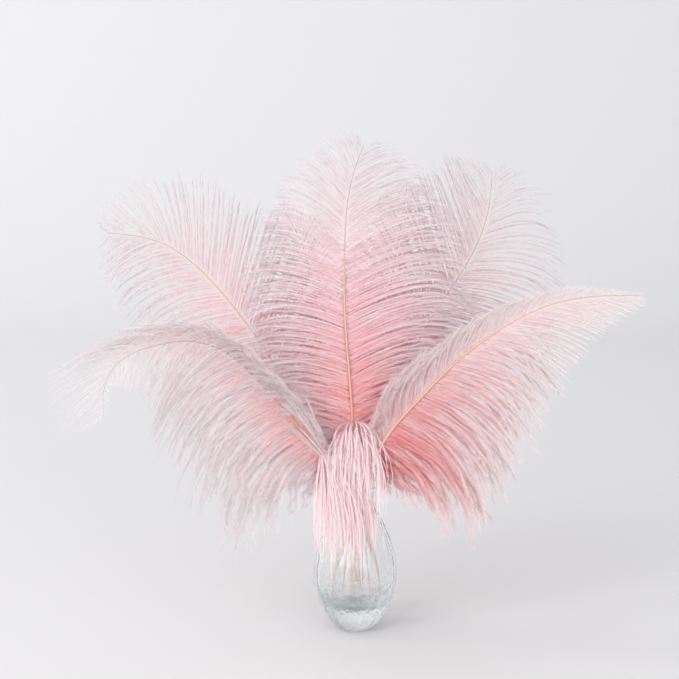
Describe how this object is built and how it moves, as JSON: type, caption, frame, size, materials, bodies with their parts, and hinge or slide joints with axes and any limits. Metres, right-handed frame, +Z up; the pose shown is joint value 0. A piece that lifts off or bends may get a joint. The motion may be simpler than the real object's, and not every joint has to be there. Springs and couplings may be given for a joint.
{
  "type": "bunch of ostrich feathers in a glass vase",
  "caption": "Loose bunch of dyed pink ostrich feathers standing in a small clear ribbed glass vase.",
  "frame": {"origin": "centre of the vase's flat foot, on the surface it stands on", "axes": "+Z up along the vase's axis; the front of the bunch looks towards -Y; +X is to the right seen from the front"},
  "size_m": [0.44, 0.2591, 0.4019],
  "materials": {
    "clear_glass": "clear colourless pressed glass, smooth, with shallow upright ribs",
    "pink_feather": "dyed ostrich plume, soft and matt, coral near the shaft and pale at the barb tips"
  },
  "bodies": {
    "root": {"vase": "clear_glass", "feather_centre": "pink_feather", "feather_back_left": "pink_feather", "feather_back_right": "pink_feather", "feather_inner_left": "pink_feather", "feather_inner_right": "pink_feather", "feather_front_left": "pink_feather", "feather_front_right": "pink_feather"}
  },
  "joints": []
}
